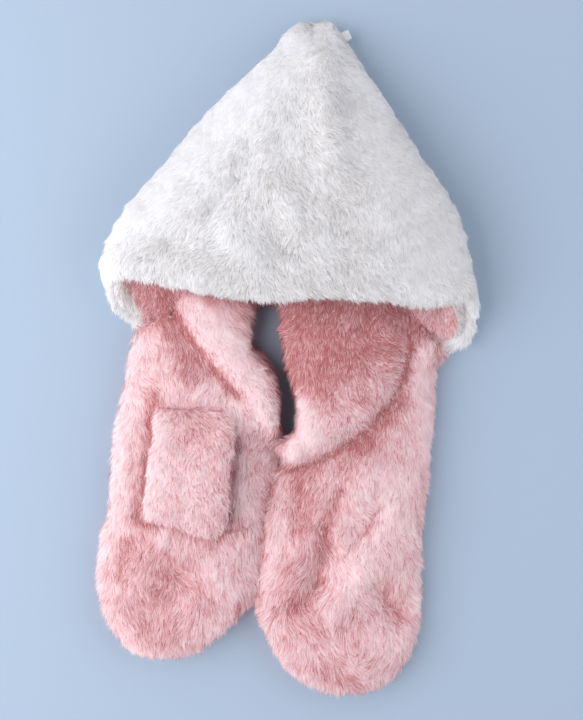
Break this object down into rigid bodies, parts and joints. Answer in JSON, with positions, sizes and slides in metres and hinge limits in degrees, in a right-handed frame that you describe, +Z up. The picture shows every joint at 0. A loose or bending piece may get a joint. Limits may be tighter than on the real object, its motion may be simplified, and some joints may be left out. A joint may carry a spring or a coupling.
{
  "type": "plush hooded scarf",
  "caption": "Plush fur hood with a soft lining and a scarf sewn to its neck, whose two tails close by a pull-through loop; lies flat with the hood open.",
  "frame": {"origin": "on the floor under the middle of the footprint", "axes": "+Y towards the peak of the hood, +X to the right as seen from above, +Z up from the floor"},
  "size_m": [0.386, 0.673, 0.0878],
  "materials": {
    "white_fur": "white plush faux fur, 10 to 14 mm pile, matte with a soft sheen",
    "pink_lining": "pink short plush lining, matte",
    "pink_fur": "pale pink plush faux fur, salmon at the roots, 12 to 16 mm pile, matte with a soft sheen",
    "loop_fur": "pale pink plush faux fur, matte with a soft sheen",
    "tag_cloth": "smooth woven white tag, blank"
  },
  "bodies": {
    "root": {"hood_shell": "white_fur", "hood_lining": "pink_lining", "scarf": "pink_fur", "scarf_loop": "loop_fur", "seam_label": "tag_cloth"}
  },
  "joints": []
}
